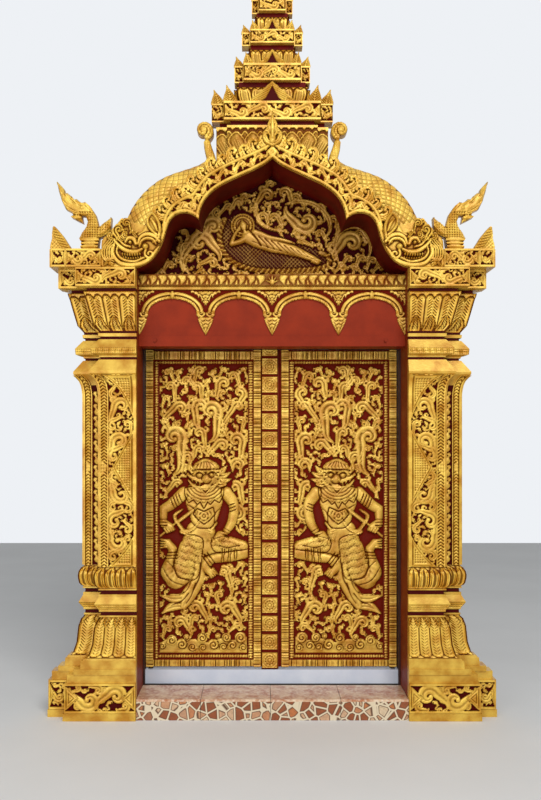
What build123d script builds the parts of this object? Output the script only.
from build123d import *
import math
import os

os.makedirs("parts", exist_ok=True)

# Carved temple door with its frame: +X right, +Y into the wall, +Z up, millimetres.
# Origin: on the plane the plinths stand on, at the middle of the doorway, in the plane of the wall's face.

# Doorway and leaves
REVEAL = 808          # half width between the two jamb linings
CLEAR = REVEAL - 11   # half width between the two door posts
POST_OUT = REVEAL + 60
SILL_TOP = 212
LEAF_BOTTOM = SILL_TOP + 12
LEAF_TOP = 2224
LEAF_FACE = 190       # front face of the leaves, measured into the wall
LEAF_THICK = 50
LEAF_GAP = 3          # between a leaf and its post
MEETING_X = 40        # right edge of the left leaf, under the cover strip's edge
MEETING_GAP = 3.5
PANEL_SINK = 12       # depth of the carved field below the leaf's border
PANEL_RAISE = 26      # height of the carving above the sunk field
PANEL_IN = 154        # inner edge of the carved field, from the middle of the doorway
PANEL_OUT = 84        # outer edge of the carved field, from the leaf's heel
PANEL_WIDE = 556      # width that the field's figures are drawn for
PIN_R = 14
PIN_FIT = 0.08        # radial running clearance of the pin in its socket
SEAT_FIT = 0.05       # radial clearance of a piece driven into its seat
PIN_SEAT = 60         # length of a pin inside the leaf
SOCKET_R = 22
SOCKET_TALL = 60

# Levels
TREAD = 124           # top of the doorstep's tiles
HEAD_BOTTOM = LEAF_TOP + 8
RAIL_TOP = HEAD_BOTTOM + 61
FRIEZE_TOP = RAIL_TOP + 303    # top of the plain red panel
ARCH_FOOT = FRIEZE_TOP + 82    # level the arch springs from
CORNICE_TOP = ARCH_FOOT + 107
SPIRE_FOOT = ARCH_FOOT + 888
SHAFT_BOTTOM = 904
SHAFT_TOP = ARCH_FOOT - 628
CAPITAL_BOTTOM = SHAFT_TOP + 258
CAPITAL_TOP = ARCH_FOOT - 120

# Depths, negative towards the viewer
ARCH_FRONT = -190
STEP_FRONT = -182
PANEL_FRONT = -30
POST_FRONT = 130
POST_BACK = 235
SILL_FRONT = 167
BACK = 300
TILE = 14             # thickness of the step's tiles

# Pilaster plan: a front part and a side part set back beside it
FRONT_EDGE = REVEAL + 218
SIDE_EDGE = REVEAL + 327
CORNICE_INNER = REVEAL + 202
CORNICE_OUTER = REVEAL + 494
FRONT_Y = -160
SIDE_Y = -75
LINING = 20           # thickness of the jamb lining
LINING_FRONT = -135

STROKE = 12           # depth of raised carving on the masonry


def save(name, shape):
    """Writes one piece to its own file."""
    shape.label = name
    export_step(shape, f"parts/{name}.step")


def mirrored(shape):
    return mirror(shape, about=Plane.YZ)


def save_pair(name, shape):
    """Writes a left-hand piece and its mirror image."""
    save(f"left_{name}", shape)
    save(f"right_{name}", mirrored(shape))


def block(x0, x1, y0, y1, z0, z1):
    size = (x1 - x0, y1 - y0, z1 - z0)
    centre = ((x0 + x1) / 2, (y0 + y1) / 2, (z0 + z1) / 2)
    return Pos(*centre) * Box(*size)


def plate(points, y_front, y_back):
    """A flat piece with the given outline seen from the front."""
    face = Plane.XZ.offset(-y_back) * make_face(Polyline(*points, close=True))
    return extrude(face, y_back - y_front)


def plates(outlines, y_front, y_back):
    """Several separate outlines of one thickness as one shape."""
    return Compound([plate(points, y_front, y_back).solid() for points in outlines])


def bezier(a, b, c, d, chords):
    """Points along a cubic curve, without its first one."""
    points = []
    for i in range(1, chords + 1):
        t = i / chords
        w = ((1 - t) ** 3, 3 * t * (1 - t) ** 2, 3 * t * t * (1 - t), t ** 3)
        points.append(tuple(sum(k * p[n] for k, p in zip(w, (a, b, c, d))) for n in (0, 1)))
    return points


def moved(points, x, z):
    """The same outline with its own zero brought to x, z."""
    return [(x + a, z + b) for a, b in points]


def height_at(points, x):
    """Height at which an outline that runs outwards crosses a vertical line."""
    for (x0, z0), (x1, z1) in zip(points, points[1:]):
        if x1 <= x:
            return z0 + (x - x0) / (x1 - x0) * (z1 - z0)
    return points[-1][1]


def flipped(points):
    """The same outline on the other side of the centre line."""
    return [(-x, z) for x, z in reversed(points)]


def curl(x, z, size, turn=0, hand=1):
    """Outline of one curling flame leaf, its root at x, z."""
    shape = [(-0.16, 0), (-0.42, 0.32), (-0.42, 0.68), (-0.12, 0.95), (0.3, 0.88), (0.46, 0.6)]
    shape += [(0.24, 0.42), (0.2, 0.68), (-0.04, 0.66), (-0.08, 0.4), (0.16, 0.06)]
    c, s = math.cos(math.radians(turn)), math.sin(math.radians(turn))
    return [(x + size * (hand * u * c - v * s), z + size * (hand * u * s + v * c)) for u, v in shape]


def spike(x, z, width, height, lean=0):
    """Outline of a pointed leaf standing on a ledge, leaning by the given distance."""
    return [(x - width / 2, z), (x + width / 2, z), (x + width * 0.42 + lean * 0.25, z + height * 0.35),
            (x + width * 0.16 + lean * 0.6, z + height * 0.72), (x + lean, z + height),
            (x - width * 0.16 + lean * 0.6, z + height * 0.72),
            (x - width * 0.42 + lean * 0.25, z + height * 0.35)]


# The left pilaster, built as one stepped plan that grows and shrinks level by level
def pilaster_section(z, out, ahead):
    """Plan of the left pilaster at one level, grown sideways and towards the viewer."""
    seam = -(REVEAL + LINING + 0.5)
    points = [(seam, 0), (seam, LINING_FRONT), (-REVEAL, LINING_FRONT), (-REVEAL, FRONT_Y - ahead)]
    points += [(-FRONT_EDGE - out, FRONT_Y - ahead), (-FRONT_EDGE - out, SIDE_Y - ahead)]
    points += [(-SIDE_EDGE - out, SIDE_Y - ahead), (-SIDE_EDGE - out, 0)]
    return Wire.make_polygon([(x, y, z) for x, y in points], close=True)


def pilaster_stack(levels):
    """A solid through the plan's sections at (level, growth, forward growth)."""
    return Part(Solid.make_loft([pilaster_section(*level) for level in levels], ruled=True).wrapped)


def framed_band(x0, x1, z0, z1, y, rim, curls):
    """A raised frame with corner triangles and curling leaves, on a face at depth y."""
    frame = plate([(x0, z0), (x1, z0), (x1, z1), (x0, z1)], y - STROKE, y)
    hole = plate([(x0 + rim, z0 + rim), (x1 - rim, z0 + rim), (x1 - rim, z1 - rim), (x0 + rim, z1 - rim)],
                 y - STROKE, y)
    middle, tall = (z0 + z1) / 2, z1 - z0 - 2 * rim
    marks = [[(x0 + rim, z0 + rim), (x0 + rim + tall * 0.42, middle), (x0 + rim, z1 - rim)],
             [(x1 - rim, z0 + rim), (x1 - rim, z1 - rim), (x1 - rim - tall * 0.42, middle)]]
    run = x1 - x0 - 2 * rim - tall * 0.9
    pitch = run / curls
    for i in range(curls):
        centre = x0 + rim + tall * 0.45 + pitch * (i + 0.5)
        side = 1 if i % 2 else -1
        marks.append(curl(centre, middle - side * tall * 0.44, tall * 0.84, 0 if side > 0 else 180, side))
    return frame - hole + plates(marks, y - STROKE, y)


def plinth():
    body = pilaster_stack([(0, 212, 42), (44, 212, 42), (44.5, 204, 30), (222, 204, 30),
                           (222.5, 190, 24), (272, 190, 24)])
    face = FRONT_Y - 30
    front = framed_band(-(FRONT_EDGE + 203), -REVEAL - 2, 46, 221, face, 14, 3)
    side = framed_band(-(SIDE_EDGE + 203), -(FRONT_EDGE + 205), 46, 221, SIDE_Y - 30, 14, 1)
    return body + front + side


def pedestal():
    """Two slabs and the tall bell of hanging lotus leaves."""
    return pilaster_stack([(272, 150, 34), (305, 150, 34), (305.5, 112, 28), (372, 106, 28), (384, 76, 22),
                           (444, 57, 18), (541, 48, 14), (590, 22, 6), (607, 0, 0)])


def base_moulding():
    """Waist, flared moulding and lotus cushion under the shaft."""
    return pilaster_stack([(607, 0, 0), (644, -2, 0), (680, 31, 14), (734, -1, 0), (776, -2, 0),
                           (800, 40, 16), (849, 48, 20), (890, 28, 10), (SHAFT_BOTTOM, 0, 0)])


def shaft():
    """The straight part, with strips, a carved field and a pointed wedge on its face."""
    flare = SHAFT_TOP - 110
    body = pilaster_stack([(SHAFT_BOTTOM, 0, 0), (flare, 0, 0), (SHAFT_TOP - 40, 18, 8),
                           (SHAFT_TOP, 58, 27)])
    low, high = SHAFT_BOTTOM + 8, flare - 4
    strip = STROKE * 0.8
    outer = block(-FRONT_EDGE + 2, -FRONT_EDGE + 46, FRONT_Y - strip, FRONT_Y, low, high)
    inner = block(-REVEAL - 22, -REVEAL - 2, FRONT_Y - strip, FRONT_Y, low, high)
    edge = block(-SIDE_EDGE + 2, -SIDE_EDGE + 46, SIDE_Y - strip, SIDE_Y, low, high)
    tall = high - low
    wedge_x, wedge_half, wedge_z = -FRONT_EDGE + 79, tall * 0.223, low + tall * 0.571
    marks = [[(-REVEAL - 24, wedge_z - wedge_half), (-REVEAL - 24, wedge_z + wedge_half), (wedge_x, wedge_z)]]
    for i in range(3):
        for side in (-1, 1):
            z = wedge_z + side * (wedge_half + tall * (0.033 + i * 0.06))
            x = -REVEAL - 97 - (20 if i % 2 else -20)
            marks.append(curl(x, z, tall * 0.09, 0 if side > 0 else 180, 1 if i % 2 else -1))
    return body + outer + inner + edge + plates(marks, FRONT_Y - STROKE, FRONT_Y)


def collar():
    """Two flared mouldings between the shaft and the capital."""
    levels = [(0, 58, 27), (18, 62, 30), (90, 2, 2), (108, 0, 0), (122, 50, 25), (158, 52, 26),
              (212, 2, 2), (226, 0, 0), (258, 0, 0)]
    return pilaster_stack([(SHAFT_TOP + z, out, ahead) for z, out, ahead in levels])


def capital():
    """The flaring capital of upright leaves."""
    levels = [(0, 18, 8), (39, 62, 28), (109, 84, 40), (222, 112, 52), (250, 116, 54)]
    return pilaster_stack([(CAPITAL_BOTTOM + z, out, ahead) for z, out, ahead in levels])


def entablature_block():
    """The lower band over the capital."""
    body = pilaster_stack([(CAPITAL_TOP, 96, 40), (CAPITAL_TOP + 7, 135, 50), (ARCH_FOOT, 135, 50)])
    low, high = CAPITAL_TOP + 9, ARCH_FOOT - 2
    front = framed_band(-(FRONT_EDGE + 134), -REVEAL - 1, low, high, FRONT_Y - 50, 13, 3)
    side = framed_band(-(SIDE_EDGE + 134), -(FRONT_EDGE + 136), low, high, SIDE_Y - 50, 11, 1)
    return body + front + side


def cornice_block():
    """The upper band that carries the crest and the corner leaf."""
    body = block(-CORNICE_OUTER, -CORNICE_INNER, -212, 0, ARCH_FOOT, CORNICE_TOP)
    low, high = ARCH_FOOT + 2, CORNICE_TOP - 1
    return body + framed_band(-CORNICE_OUTER + 2, -CORNICE_INNER - 2, low, high, -212, 13, 3)


# The arch over the doorway, each half one carved piece
def over(share, rise):
    """A point over the left half of the doorway: its share of the half width and its rise over the foot."""
    return (-REVEAL * share, ARCH_FOOT + rise)


def arch_inner():
    """Inner edge of the left half, from the point of the arch down to its foot."""
    points = [over(0, 653)]
    points += bezier(points[-1], over(0.0495, 607), over(0.1361, 580), over(0.2958, 522), 3)
    points += bezier(points[-1], over(0.4554, 464), over(0.5260, 402), over(0.5408, 290), 5)
    points += bezier(points[-1], over(0.6188, 352), over(0.7426, 342), over(0.7735, 234), 6)
    points += bezier(points[-1], over(0.8045, 122), over(0.8663, 27), over(1, 0), 5)
    return points


def arch_rim():
    """Outer edge of the carved band, from the point of the arch down to the head of the serpent."""
    points = [over(0, 749)]
    points += bezier(points[-1], over(0.0866, 687), over(0.2475, 662), over(0.4356, 574), 4)
    points += bezier(points[-1], over(0.5198, 537), over(0.5446, 482), over(0.5941, 434), 4)
    points += bezier(points[-1], over(0.7426, 402), over(0.8045, 322), over(0.8106, 225), 4)
    return points


def naga_edge():
    """Outer edge of the serpent's body, one point for each point of the rim beside it."""
    points = [over(0.4889, 674)]
    points += bezier(points[-1], over(0.5817, 612), over(0.7426, 612), over(0.8663, 542), 4)
    points += bezier(points[-1], over(0.9901, 472), over(1.0644, 382), over(1.1015, 287), 4)
    return points


def along(points, share):
    """Point and direction at a share of an outline's length."""
    spans = [math.dist(a, b) for a, b in zip(points, points[1:])]
    left = share * sum(spans)
    for (a, b), span in zip(zip(points, points[1:]), spans):
        if left <= span:
            t = left / span
            direction = math.degrees(math.atan2(b[1] - a[1], b[0] - a[0]))
            return (a[0] + t * (b[0] - a[0]), a[1] + t * (b[1] - a[1])), direction
        left -= span
    return points[-1], direction


def arch_half():
    """Band, springing, soffit lining and the row of flame leaves along the rim."""
    inner, rim = arch_inner(), arch_rim()
    outer = [(-CORNICE_INNER, ARCH_FOOT), (-CORNICE_INNER, ARCH_FOOT + 162), naga_edge()[-1]]
    outline = inner + outer + rim[::-1]
    band = plate(outline, ARCH_FRONT, 0)
    seat = [(-POST_OUT, ARCH_FOOT), (-POST_OUT, ARCH_FOOT + 82), over(0.8663, 212)]
    lining = plate(inner + seat + rim[::-1], 0, LEAF_FACE)
    marks = []
    flames, frieze = 9, 8
    for i in range(flames):
        (x, z), direction = along(rim, 0.12 + 0.86 * i / flames)
        marks.append(curl(x, z - 6, REVEAL * 0.0916, direction - 180, 1))
    beside_rim = inner[:15]
    shoots = []
    for i in range(frieze):
        share = 0.12 + 0.84 * i / frieze
        (x0, z0), direction = along(beside_rim, share)
        (x1, z1), _ = along(rim, share)
        x, z = (x0 + x1) / 2, (z0 + z1) / 2 - 16
        shoots.append(curl(x, z, REVEAL * 0.0495, direction - 120, 1 if i % 2 else -1))
    front = plates(shoots, ARCH_FRONT - STROKE, ARCH_FRONT)
    return band + lining + plates(marks, ARCH_FRONT - 2, ARCH_FRONT + 38) + front


def naga_section(root, edge):
    """Faceted section of the serpent's body between the arch's rim and its own back."""
    profile = [(0, 0), (0, -70), (0.3, -124), (0.72, -120), (1, -72), (1, 0)]
    points = [(root[0] + t * (edge[0] - root[0]), y, root[1] + t * (edge[1] - root[1])) for t, y in profile]
    return Wire.make_polygon(points, close=True)


def naga_body():
    stations = list(zip(arch_rim()[4:], naga_edge()))
    return Part(Solid.make_loft([naga_section(a, b) for a, b in stations], ruled=True).wrapped)


def tail_curl():
    """The serpent's tail, rising from its body and rolled up beside the spire."""
    root, edge = arch_rim()[4], naga_edge()[0]
    x, z = over(0.5087, 852)
    outline = [root, (x + 65, z - 230), (x + 43, z - 150), (x + 45, z - 90)]
    turn = [-0.9 + 0.7 * i for i in range(8)]
    outline += [(x + 52 * math.cos(a), z + 66 * math.sin(a)) for a in turn]
    outline += [(x - 1, z - 110), edge]
    coil = Pos(x - 2, -110, z + 2) * Rot(90, 0, 0) * Cylinder(28, 24)
    return plate(outline, -105, -20) + coil


def makara_head():
    """The grinning head at the foot of the arch, in raised layers on a shaped base."""
    back = [(-196, 0), (-198, 162), (-152, 202), (-119, 227), (-71, 279), (-36, 286)]
    back += [(-24, 242), (17, 184), (78, 194), (128, 178), (158, 180), (140, 112)]
    back += [(103, 52), (46, 14), (2, 0)]
    base = plate(moved(back, -REVEAL, ARCH_FOOT), -226, ARCH_FRONT)
    brow = [(24, 118), (22, 157), (63, 184), (118, 164), (103, 137), (58, 144)]
    nose = [(-97, 158), (-72, 172), (-22, 122), (8, 114), (8, 88), (-42, 92), (-82, 122)]
    lower = [(-107, 112), (-72, 38), (8, 24), (68, 52), (80, 84), (28, 60), (-52, 64)]
    lower += [(-78, 108)]
    ear = [(73, 172), (48, 242), (53, 287), (86, 307), (108, 272), (102, 172)]
    cheek = [curl(-122, 12, 150, 18, 1), curl(-60, 198, 62, 10, -1)]
    eye = Pos(-REVEAL + 66, -235, ARCH_FOOT + 116) * Rot(90, 0, 0) * Cylinder(20, 18)
    head = base + plate(moved(ear, -REVEAL, ARCH_FOOT), -218, ARCH_FRONT) + eye
    for outline in [brow, nose, lower] + cheek:
        head += plate(moved(outline, -REVEAL, ARCH_FOOT), -246, -226)
    return head


def naga_crest():
    """The rearing serpent's head that stands on the cornice."""
    outline = [(-336, 107), (-234, 107), (-222, 188), (-177, 206), (-154, 235), (-150, 313)]
    outline += [(-196, 277), (-226, 252), (-234, 287), (-245, 326), (-275, 371), (-309, 400)]
    outline += [(-332, 396), (-360, 423), (-370, 407), (-385, 432), (-417, 459), (-425, 447)]
    outline += [(-436, 482), (-478, 528), (-464, 462), (-446, 405), (-423, 358), (-376, 335)]
    outline += [(-390, 311), (-355, 292), (-320, 275), (-328, 320), (-304, 317), (-293, 286)]
    outline += [(-302, 252), (-328, 218), (-345, 186), (-328, 158)]
    collar_ring = block(-REVEAL - 350, -REVEAL - 218, -186, -76, CORNICE_TOP + 37, CORNICE_TOP + 57)
    return plate(moved(outline, -REVEAL, ARCH_FOOT), -168, -94) + collar_ring


def corner_leaf():
    outline = [(-498, 107), (-388, 107), (-405, 152), (-440, 202), (-485, 244)]
    return plate(moved(outline, -REVEAL, ARCH_FOOT), -205, -150)


# The stepped spire over the point of the arch
def spire_section(z, front_half, side_half, front_y):
    """Plan of the spire at one level: a front part and two side parts set back beside it."""
    side_y = front_y + 48
    points = [(-side_half, 0), (-side_half, side_y), (-front_half, side_y), (-front_half, front_y)]
    points += [(-x, y) for x, y in reversed(points)]
    return Wire.make_polygon([(x, y, z) for x, y in points], close=True)


def spire_stack(levels):
    return Part(Solid.make_loft([spire_section(*level) for level in levels], ruled=True).wrapped)


def spire_base():
    """Lotus base of the spire, cut to sit on the arch."""
    top = SPIRE_FOOT - 33
    base = spire_stack([(top, 250, 316, -132), (SPIRE_FOOT, 250, 316, -132)])
    for share, y_front, y_back in ((0.4084, -102, 0), (0.3243, -150, -102)):
        edge = -REVEAL * share
        rim = [p for p in arch_rim() if p[0] > edge]
        half = rim + [(edge, height_at(arch_rim(), edge)), (edge, top - 133), (edge - 11, top)]
        base += plate(half + flipped(half[1:]), y_front, y_back)
    return base


def spire_tier(z0, z1, front_half, side_half, front_y, leaf_tall, curls):
    """One carved band of the spire with its pointed leaves on top."""
    body = spire_stack([(z0, front_half, side_half, front_y), (z1, front_half, side_half, front_y)])
    rim = (z1 - z0) * 0.13
    front = framed_band(-front_half + 1, front_half - 1, z0 + 1, z1 - 1, front_y, rim, curls)
    leaves, width = [], (side_half - front_half) * 1.05
    for side in (-1, 1):
        leaves.append(spike(side * (side_half - width / 2), z1, width, leaf_tall, side * width * 0.35))
    corner = [spike(side * (front_half - width / 2), z1, width, leaf_tall * 1.1, side * width * 0.3)
              for side in (-1, 1)]
    wide = front_half * 0.34
    gable = [(-wide, z1), (wide, z1), (wide * 0.3, z1 + leaf_tall * 0.75), (0, z1 + leaf_tall * 1.3),
             (-wide * 0.3, z1 + leaf_tall * 0.75)]
    return (body + front + plates(leaves, front_y + 50, front_y + 74)
            + plates(corner + [gable], front_y, front_y + 24))


def spire_cushion(z0, z1, front_half, side_half, front_y):
    """Flaring ring of lotus petals and the plain neck over it."""
    neck = z1 - 0.26 * (z1 - z0)
    foot = (front_half * 0.93, side_half * 0.93, front_y + 6)
    inner = (front_half * 0.88, side_half * 0.88, front_y + 14)
    return spire_stack([(z0, *foot), (neck, front_half, side_half, front_y), (neck + 1, *inner), (z1, *inner)])


def around(radius, sides=16):
    """Corners of a regular plan round the axis."""
    turns = [2 * math.pi * i / sides for i in range(sides)]
    return [(radius * math.cos(t), radius * math.sin(t), 0) for t in turns]


def spire_tip():
    """The plain pointed top above the photograph's edge."""
    levels = [(0, 60, 96, -66), (35, 66, 104, -70), (36, 54, 86, -66), (115, 44, 70, -62)]
    base = spire_stack([(SPIRE_FOOT + 759 + z, *plan) for z, *plan in levels])
    rings = [(115, 34), (145, 40), (185, 22), (215, 26), (295, 14), (465, 1)]
    sections = [Plane((0, -36, SPIRE_FOOT + 759 + z)) * Wire.make_polygon(around(radius), close=True)
                for z, radius in rings]
    return base + Part(Solid.make_loft(sections, ruled=True).wrapped)


def apex_palmette():
    """The leaf bouquet over the point of the arch."""
    half = [(0, 0), (-28, 20), (-54, 44), (-58, 90), (-36, 124), (-26, 164), (0, 204)]
    root = ARCH_FOOT + 718
    outer = plate(moved(half + flipped(half[1:-1]), 0, root), -222, ARCH_FRONT)
    half = [(0, 16), (-26, 40), (-32, 74), (0, 124)]
    return outer + plate(moved(half + flipped(half[1:-1]), 0, root), -240, -222)


# The fields behind and under the arch
def figure_outline():
    """Silhouette of the reclining figure: head on the raised hand, feet to the right."""
    outline = [(-238, 160), (-226, 212), (-196, 234), (-190, 266), (-216, 288), (-200, 320), (-168, 326)]
    outline += [(-146, 298), (-150, 266), (-100, 262), (-20, 228), (90, 174), (250, 140), (312, 128)]
    outline += [(318, 102), (240, 94), (90, 112), (-60, 148), (-140, 162)]
    return outline


def tympanum():
    """Field of scrolls round the reclining figure's oval."""
    half = [over(0, 742), over(0.4356, 567), over(0.5941, 427), over(0.7921, 352), over(0.8663, 212),
            (-POST_OUT, ARCH_FOOT + 82), (-POST_OUT, FRIEZE_TOP + 24)]
    field = plate(half + flipped(half[1:]), LEAF_FACE, LEAF_FACE + 25)
    cx, cz, across, tall = 20, ARCH_FOOT + 182, 300, 150
    turn = [i * math.pi / 8 for i in range(16)]
    ring = [(cx + across * math.cos(a), cz + tall * math.sin(a)) for a in turn]
    hole = [(cx + 0.9 * (x - cx), cz + 0.84 * (z - cz)) for x, z in ring]
    oval = plate(ring, LEAF_FACE - 16, LEAF_FACE) - plate(hole, LEAF_FACE - 16, LEAF_FACE)
    places = [(-560, 8, 110, 10), (-420, 12, 140, 15), (-500, 152, 110, 20), (-385, 202, 100, 0),
              (-310, 312, 100, 10), (-210, 352, 100, 0), (-90, 382, 110, 10), (-44, 492, 84, 0)]
    marks = []
    for x, z, size, turn in places:
        leaf_mark = curl(x, ARCH_FOOT + z, size, turn, -1)
        marks += [leaf_mark, flipped(leaf_mark)]
    carving = plates(marks, LEAF_FACE - 22, LEAF_FACE)
    return field + oval + carving + plate(moved(figure_outline(), 0, ARCH_FOOT), LEAF_FACE - 34, LEAF_FACE)


def foliage_cornice():
    """Ledge over the panel with a row of curled leaves on its edge."""
    ledge = block(-REVEAL, REVEAL, -70, LEAF_FACE, FRIEZE_TOP, FRIEZE_TOP + 64)
    count = 15
    pitch = 2 * REVEAL / count
    marks = [curl(-REVEAL + pitch * (i + 0.5), FRIEZE_TOP + 4, 60, 0, -1 if i < count / 2 else 1)
             for i in range(count)]
    return ledge + plates(marks, -82, -70)


def valance():
    """Gold strip with four hanging arches and leaf-shaped drops between them."""
    bay, top, crown, spring = 2 * REVEAL / 4, FRIEZE_TOP, FRIEZE_TOP - 72, FRIEZE_TOP - 204
    points = [(-REVEAL, top), (REVEAL, top), (REVEAL, spring - 62), (REVEAL - 22, spring - 32)]
    for k in range(4):
        centre = REVEAL - bay * (k + 0.5)
        for i in range(9):
            angle = math.pi * i / 8
            across, rise = (bay / 2 - 46) * math.cos(angle), (crown - spring) * math.sin(angle)
            points.append((centre + across, spring + rise))
        if k < 3:
            drop = centre - bay / 2
            leaf_half = [(34, -20), (30, -48), (0, -95), (-30, -48), (-34, -20)]
            points += moved(leaf_half, drop, spring)
    points += [(-REVEAL + 22, spring - 32), (-REVEAL, spring - 62)]
    return plate(points, PANEL_FRONT - 22, PANEL_FRONT)


def lintel_rail():
    """Red rail under the panel, carried back to the door posts."""
    return block(-REVEAL, REVEAL, PANEL_FRONT - 6, POST_FRONT, HEAD_BOTTOM - 2, RAIL_TOP)


def head_beam():
    """Beam over the leaves with the seats of the two upper sockets."""
    beam = block(-POST_OUT, POST_OUT, POST_FRONT, POST_BACK + 20, HEAD_BOTTOM, HEAD_BOTTOM + 110)
    for x in (-pivot_x(), pivot_x()):
        beam -= bore(x, HEAD_BOTTOM, HEAD_BOTTOM + SOCKET_TALL, SOCKET_R + SEAT_FIT)
    return beam


# The leaves and what they turn on
def pivot_x():
    return CLEAR - LEAF_GAP - LEAF_THICK / 2


def pivot_y():
    return LEAF_FACE + LEAF_THICK / 2


def bore(x, z0, z1, radius):
    return Pos(x, pivot_y(), (z0 + z1) / 2) * Cylinder(radius, z1 - z0)


def guardian_outline():
    """Silhouette of the dancing guardian, its x measured from the carved field's outer edge."""
    outline = [(240, 1303), (333, 1303), (383, 1246), (370, 1170), (434, 1132), (484, 1043), (497, 961)]
    outline += [(434, 879), (370, 828), (421, 771), (535, 733), (528, 689), (434, 638), (333, 600)]
    outline += [(257, 594), (193, 524), (155, 448), (117, 385), (3, 347), (-10, 379), (54, 423)]
    outline += [(41, 518), (54, 645), (104, 771), (168, 854), (155, 993), (117, 1043), (66, 942)]
    outline += [(54, 866), (3, 879), (22, 980), (66, 1088), (142, 1138), (206, 1157), (181, 1221)]
    return outline


def leaf_carving(tall):
    """Curling foliage of a leaf of the given height, arranged in winding rows round the guardian."""
    marks, middle, start, pitch = [], PANEL_WIDE / 2, 1336, 80
    for row in range(int((tall - 97 - start) / pitch)):
        z = start + row * pitch
        for k, x in enumerate((-190, 0, 190)):
            side = 1 if (row + k) % 2 else -1
            marks.append(curl(middle + x * 0.96 + side * 18, z, 78, 25 * side, side))
    for x, z, turn in ((58, 1216, 15), (510, 1196, -15), (460, 366, 0), (510, 476, 20), (380, 456, -20)):
        marks.append(curl(x, z, 84, turn, 1 if x > middle else -1))
    for k in range(5):
        marks.append(curl(middle + (k - 2) * 108, 106, 96, 0, 1 if k > 2 else -1))
    return marks


def leaf(x_heel, x_meet, shift):
    """A leaf as seen on the left: square front, heel rounded at the back, sunk carved field."""
    body = block(x_heel, x_meet, LEAF_FACE, LEAF_FACE + LEAF_THICK, LEAF_BOTTOM, LEAF_TOP)
    heel = [e for e in body.edges().filter_by(Axis.Z)
            if e.center().X < x_heel + 1 and e.center().Y > pivot_y()]
    body = fillet(heel, LEAF_THICK / 2 - 0.5)
    edge = -(CLEAR - LEAF_GAP) + shift
    inner = -PANEL_IN + shift
    field = block(edge + PANEL_OUT, inner, LEAF_FACE, LEAF_FACE + PANEL_SINK, LEAF_BOTTOM + 86, LEAF_TOP - 97)
    floor = LEAF_FACE + PANEL_SINK
    strips = [block(x0, x1, LEAF_FACE - 5, LEAF_FACE, LEAF_BOTTOM + 12, LEAF_TOP - 12)
              for x0, x1 in ((edge + 28, edge + 43), (edge + 60, edge + 79), (inner + 20, inner + 35),
                             (inner + 48, inner + 85))]
    rails = [block(edge + 60, inner + 35, LEAF_FACE - 5, LEAF_FACE, z0, z1)
             for z0, z1 in ((LEAF_BOTTOM + 12, LEAF_BOTTOM + 38), (LEAF_BOTTOM + 54, LEAF_BOTTOM + 76),
                            (LEAF_TOP - 86, LEAF_TOP - 67), (LEAF_TOP - 58, LEAF_TOP - 14))]
    unit = (inner - edge - PANEL_OUT) / PANEL_WIDE
    marks, figure = ([moved([(x * unit, z) for x, z in p], edge + PANEL_OUT, LEAF_BOTTOM) for p in outlines]
                     for outlines in (leaf_carving(LEAF_TOP - LEAF_BOTTOM), [guardian_outline()]))
    carving = plates(marks, floor - PANEL_RAISE * 0.7, floor)
    figure = plate(figure[0], floor - PANEL_RAISE, floor)
    body = body - field + carving + figure
    for piece in strips + rails:
        body += piece
    for z0, z1 in ((LEAF_BOTTOM, LEAF_BOTTOM + PIN_SEAT), (LEAF_TOP - PIN_SEAT, LEAF_TOP)):
        body -= bore(-pivot_x(), z0, z1, PIN_R + SEAT_FIT)
    return body


def cover_strip():
    """Strip over the meeting of the leaves, with a column of square bosses."""
    x0, x1 = -63, 38
    strip = block(x0, x1, LEAF_FACE - 12, LEAF_FACE, SILL_TOP + 4, LEAF_TOP)
    pitch, side = 116, 98
    bosses = []
    for i in range(int((LEAF_TOP - SILL_TOP - 8) / pitch)):
        z = SILL_TOP + 8 + side / 2 + pitch * i
        half, low = side / 2, side / 2 - 9
        centre = (x0 + x1) / 2
        frame = [(-half, -low), (-low, -half), (low, -half), (half, -low),
                 (half, low), (low, half), (-low, half), (-half, low)]
        bosses.append(moved(frame, centre, z))
    return strip + plates(bosses, LEAF_FACE - 24, LEAF_FACE - 12)


def pin(z_leaf, upward):
    """Iron pin driven into the heel and standing out of it."""
    reach = SOCKET_TALL - 8
    z0, z1 = (z_leaf - PIN_SEAT, z_leaf + reach) if upward else (z_leaf - reach - 12, z_leaf + PIN_SEAT)
    return bore(-pivot_x(), z0 + 0.3, z1 - 0.3, PIN_R)


def socket(z0, floor_below):
    """Iron cup that a pin turns in."""
    cup = bore(-pivot_x(), z0, z0 + SOCKET_TALL, SOCKET_R)
    if floor_below:
        return cup - bore(-pivot_x(), z0 - 1 + 8, z0 + SOCKET_TALL + 1, PIN_R + PIN_FIT)
    return cup - bore(-pivot_x(), z0 - 1, z0 + SOCKET_TALL - 4, PIN_R + PIN_FIT)


def sill():
    """Tiled sill block between the posts, with the seats of the lower sockets."""
    body = block(-CLEAR, CLEAR, SILL_FRONT, BACK, TREAD, SILL_TOP)
    for x in (-pivot_x(), pivot_x()):
        body -= bore(x, SILL_TOP - SOCKET_TALL, SILL_TOP, SOCKET_R + SEAT_FIT)
    return body


def tiles(spans, y0, y1, z0, z1):
    """A row of tiles with open joints between them."""
    joint = 1.5
    return Compound([block(a + joint, b - joint, y0, y1, z0, z1).solid() for a, b in zip(spans, spans[1:])])


def doorstep():
    """Masonry step between the plinths and under the door."""
    front = block(-REVEAL, REVEAL, STEP_FRONT + TILE, 0, 0, TREAD - TILE)
    return front + block(-POST_OUT, POST_OUT, 0, BACK, 0, TREAD - TILE)


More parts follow.
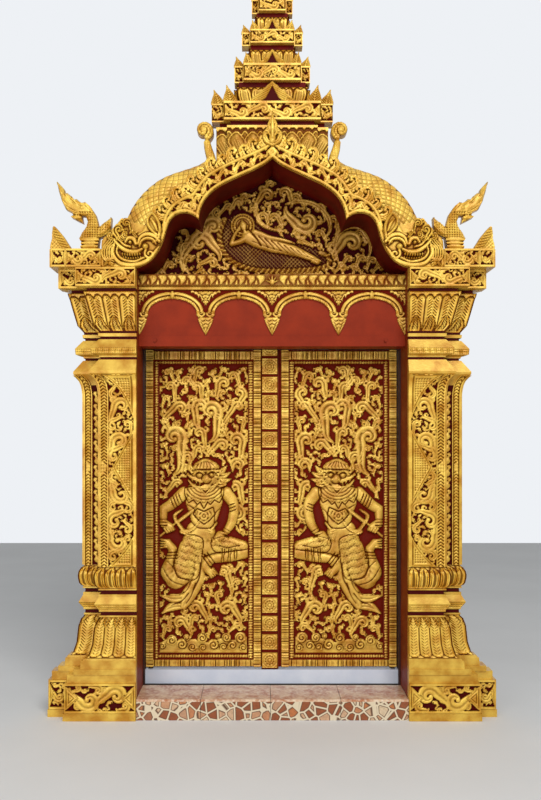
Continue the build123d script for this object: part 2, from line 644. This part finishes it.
def build():
    joints = [-REVEAL, -REVEAL + 383, -10, REVEAL - 403, REVEAL]
    save("doorstep", doorstep())
    save("step_tread_tiles", tiles(joints, STEP_FRONT, POST_FRONT, TREAD - TILE, TREAD))
    save("step_riser_tiles", tiles(joints, STEP_FRONT, STEP_FRONT + TILE, 0, TREAD - TILE))
    save("threshold_sill", sill())
    save_pair("plinth", plinth())
    save_pair("pedestal", pedestal())
    save_pair("base_moulding", base_moulding())
    save_pair("pilaster_shaft", shaft())
    save_pair("capital", collar() + capital())
    save_pair("entablature_block", entablature_block())
    save_pair("cornice_block", cornice_block())
    save_pair("corner_leaf", corner_leaf())
    save_pair("naga_crest", naga_crest())
    save_pair("makara_head", makara_head())
    save_pair("naga", naga_body() + tail_curl())
    save_pair("arch_half", arch_half())
    save("apex_palmette", apex_palmette())
    save("spire_lotus_base", spire_base())
    save("spire_tier_1", spire_tier(SPIRE_FOOT, SPIRE_FOOT + 110, 289, 363, -150, 92, 5))
    for number, levels, cushion, tier in (
            (2, (110, 241, 343), (222, 240, -120), (171, 227, -132, 66, 3)),
            (3, (343, 471, 552), (143, 158, -104), (131, 183, -116, 56, 3)),
            (4, (552, 671, 759), (104, 116, -90), (80, 123, -100, 50, 1))):
        low, middle, high = (SPIRE_FOOT + z for z in levels)
        save(f"spire_tier_{number}", spire_cushion(low, middle, *cushion) + spire_tier(middle, high, *tier))
    save("spire_tip", spire_tip())
    save("tympanum", tympanum())
    save("foliage_cornice", foliage_cornice())
    save("valance", valance())
    save("lintel_panel", block(-REVEAL, REVEAL, PANEL_FRONT, 0, RAIL_TOP, FRIEZE_TOP))
    save("lintel_rail", lintel_rail())
    save("head_beam", head_beam())
    for name, x in (("left", -REVEAL + 97), ("right", REVEAL - 118)):
        peg = Rot(90, 0, 0) * Cylinder(9, 12)
        save(f"{name}_lintel_peg", Pos(x, PANEL_FRONT - 12, RAIL_TOP - 28) * peg)
    save_pair("jamb_lining", block(-REVEAL - LINING, -REVEAL, LINING_FRONT, POST_FRONT, TREAD, ARCH_FOOT))
    save_pair("door_post", block(-POST_OUT, -CLEAR, POST_FRONT, POST_BACK, TREAD - TILE, HEAD_BOTTOM))
    heel = -(CLEAR - LEAF_GAP)
    save("left_leaf", leaf(heel, MEETING_X, 0))
    save("right_leaf", mirrored(leaf(heel, -(MEETING_X + MEETING_GAP), 6)))
    save("cover_strip", cover_strip())
    save_pair("lower_pin", pin(LEAF_BOTTOM, False))
    save_pair("upper_pin", pin(LEAF_TOP, True))
    save_pair("lower_socket", socket(SILL_TOP - SOCKET_TALL, True))
    save_pair("upper_socket", socket(HEAD_BOTTOM, False))


build()
